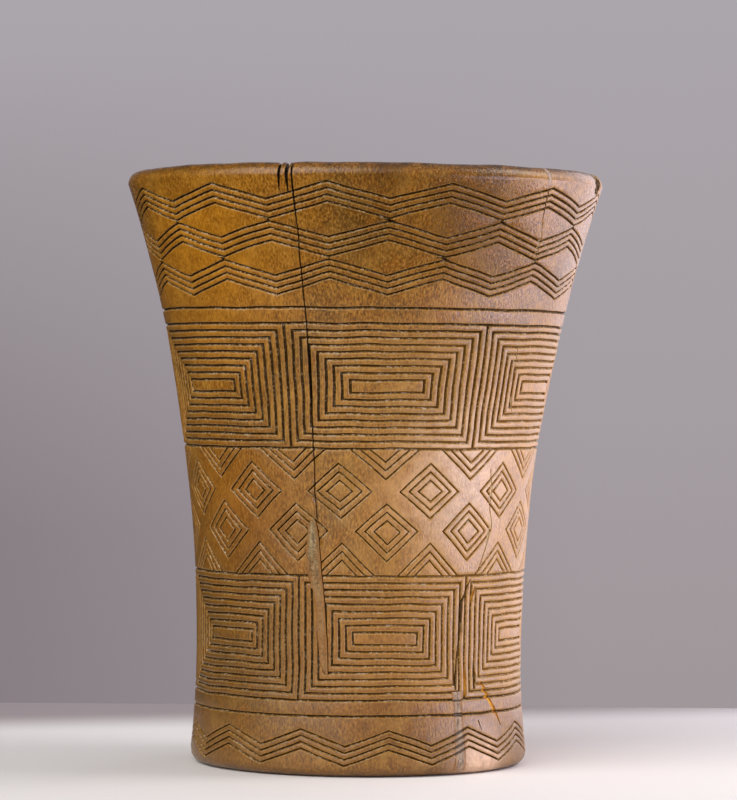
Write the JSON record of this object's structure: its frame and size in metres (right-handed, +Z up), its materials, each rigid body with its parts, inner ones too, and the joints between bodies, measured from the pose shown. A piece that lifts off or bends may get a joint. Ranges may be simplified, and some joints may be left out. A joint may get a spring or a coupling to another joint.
{
  "type": "kero",
  "caption": "Waisted wooden drinking beaker with a flared rounded lip, hollowed from a solid block and carved all round with geometric bands; old drying cracks are closed with putty.",
  "frame": {"origin": "centre of the flat foot, on the surface that the beaker stands on", "axes": "+Z up along the beaker's axis towards the mouth, -Y towards the pictured front, +X to the right of it"},
  "size_m": [0.1454, 0.1454, 0.18],
  "materials": {
    "carved_wood": "dense hardwood, hand carved and burnished by use, with dark residue in the cuts",
    "dark_putty": "matt grey-brown chalk putty",
    "pale_putty": "matt pale chalk putty"
  },
  "bodies": {
    "root": {"beaker_body": "carved_wood", "front_crack_fill": "dark_putty", "rim_split_fill": "pale_putty", "foot_crack_fill": "pale_putty"}
  },
  "joints": []
}
